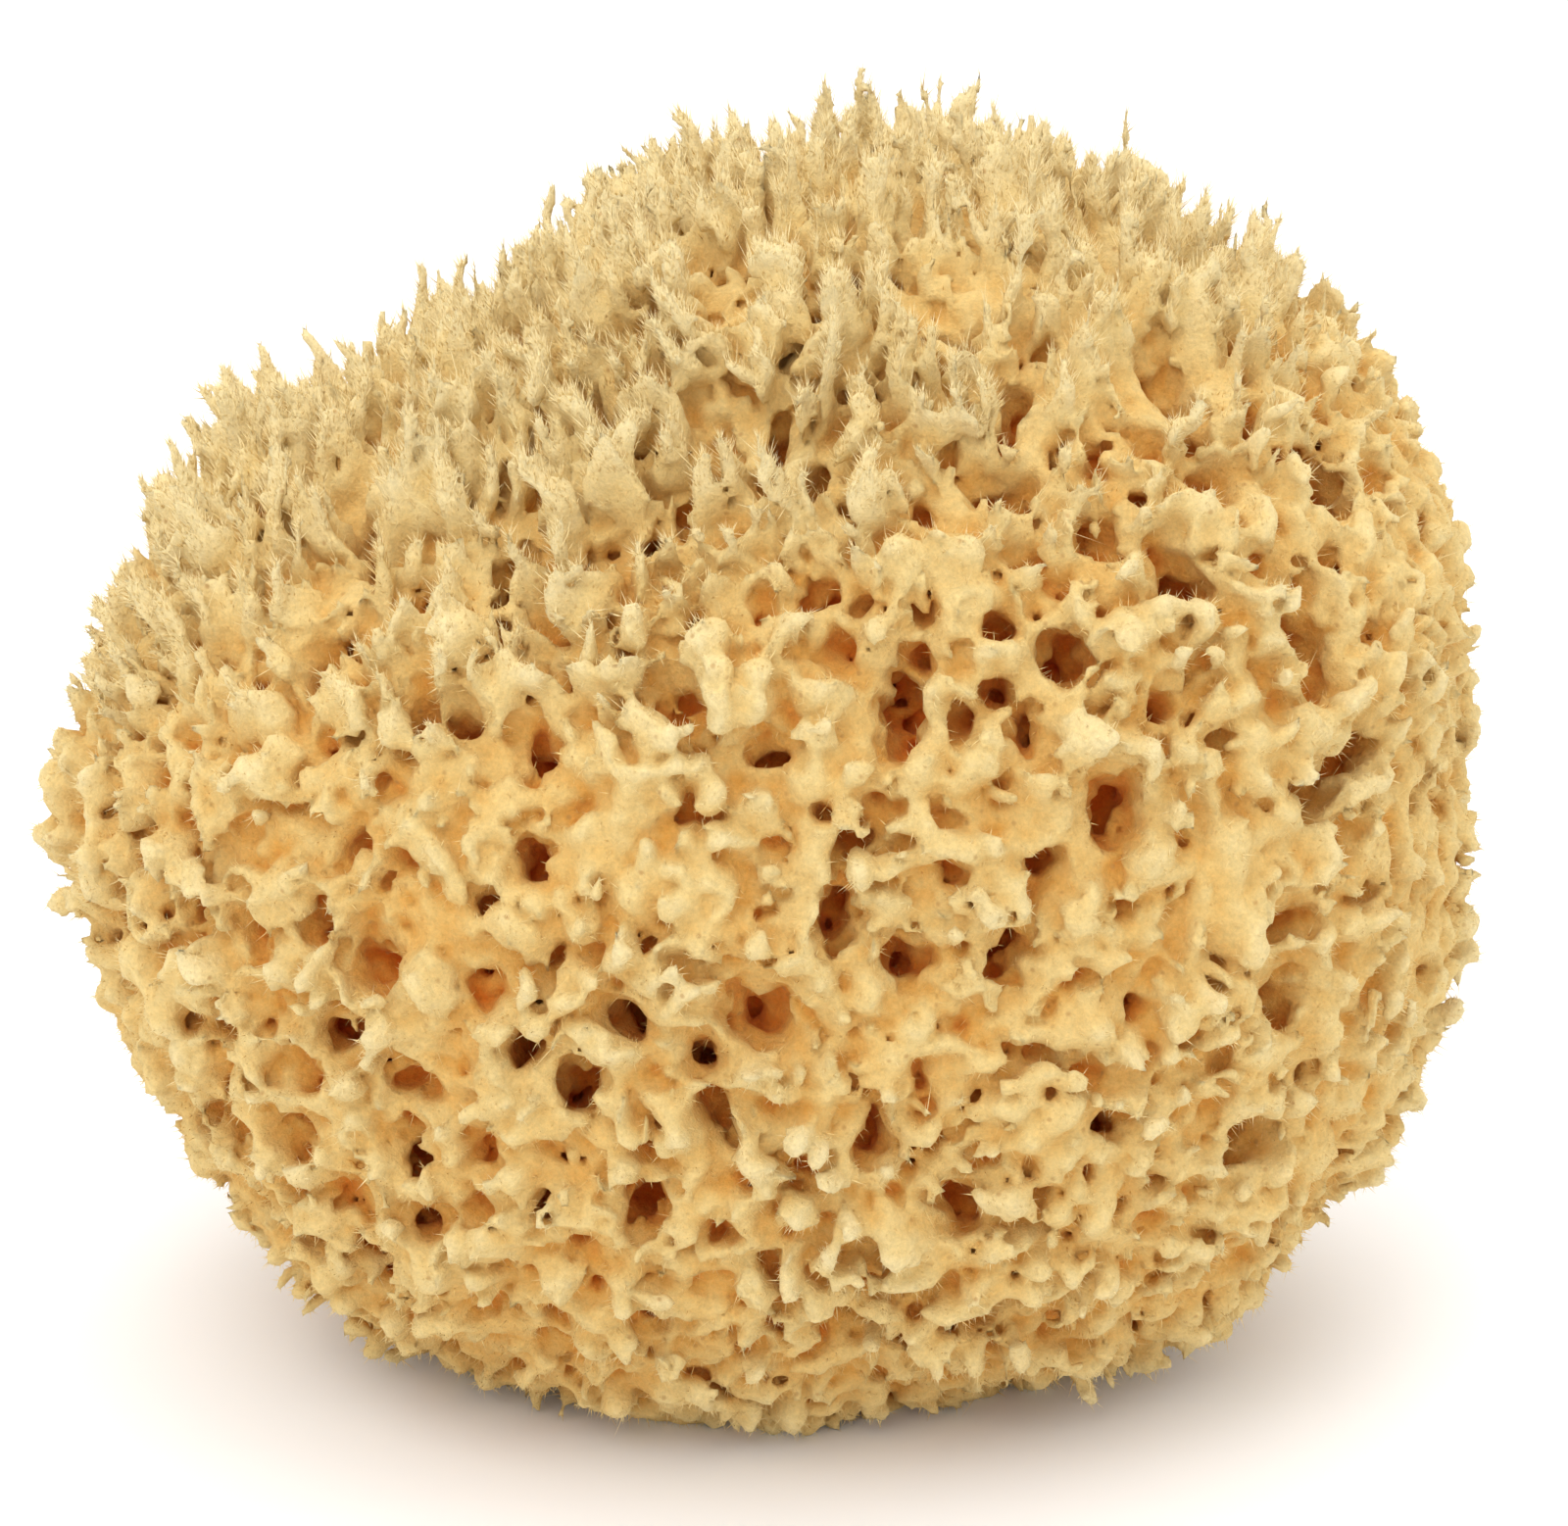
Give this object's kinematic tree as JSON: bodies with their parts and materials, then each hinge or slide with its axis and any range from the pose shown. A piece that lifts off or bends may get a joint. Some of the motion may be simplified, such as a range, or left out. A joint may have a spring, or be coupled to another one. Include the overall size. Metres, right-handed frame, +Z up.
{
  "type": "sea sponge",
  "caption": "Natural sea sponge for the bath: a rounded, honeycombed lump of golden fibre with pointed tips and dark canals, cut flat underneath.",
  "frame": {"origin": "on the flat cut underneath, below the middle of the lump", "axes": "+X along the longest extent, to the right as seen from the front; +Y to the back, along the shortest extent; +Z up from the cut"},
  "size_m": [0.1443, 0.1114, 0.1289],
  "materials": {
    "sponge_fibre": "dry natural sponge: matt, finely fibrous, cream at the tips and amber down in the canals"
  },
  "bodies": {
    "root": {"sponge": "sponge_fibre"}
  },
  "joints": []
}
